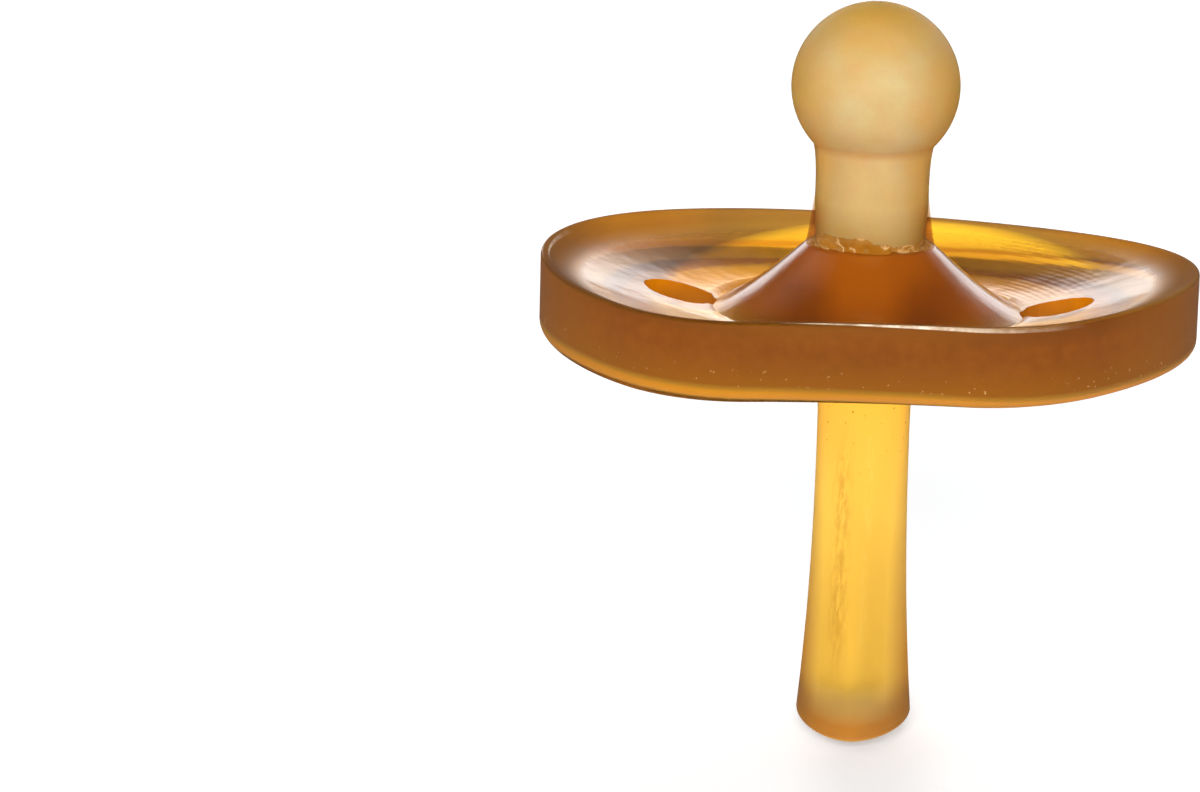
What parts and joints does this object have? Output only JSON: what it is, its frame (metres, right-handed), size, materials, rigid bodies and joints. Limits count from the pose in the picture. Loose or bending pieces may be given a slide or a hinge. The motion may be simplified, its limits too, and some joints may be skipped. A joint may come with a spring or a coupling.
{
  "type": "pacifier",
  "caption": "Rubber pacifier: a notched, vented shield with a round hollow teat on its front and a flat paddle handle on its back.",
  "frame": {"origin": "middle of the outline, on the surface that the end of the handle stands on", "axes": "+X along the shield's long way, +Y towards its chin side (the nose notch faces -Y), +Z towards the tip of the teat"},
  "size_m": [0.0516, 0.0444, 0.0583],
  "materials": {
    "amber_rubber": "satin, clear amber",
    "teat_rubber": "satin, milky",
    "bond": "gloss, clear amber"
  },
  "bodies": {
    "shield_body": {"shield": "amber_rubber", "teat_bond": "bond", "handle_bond": "bond"},
    "teat_body": {"teat": "teat_rubber"},
    "handle_body": {"handle": "amber_rubber"}
  },
  "joints": [
    {"name": "teat_flex", "type": "hinge", "parent": "shield_body", "child": "teat_body", "pos_m": [0, -0.00149, 0.0416], "axis": [1, 0, 0], "range_deg": [-30, 30], "stiffness_Nm_per_rad": 0.025, "deforming": ["teat"]},
    {"name": "handle_flex", "type": "hinge", "parent": "shield_body", "child": "handle_body", "pos_m": [0, -0.00149, 0.0276], "axis": [0, 1, 0], "range_deg": [-35, 35], "stiffness_Nm_per_rad": 0.04, "deforming": ["handle"]}
  ]
}
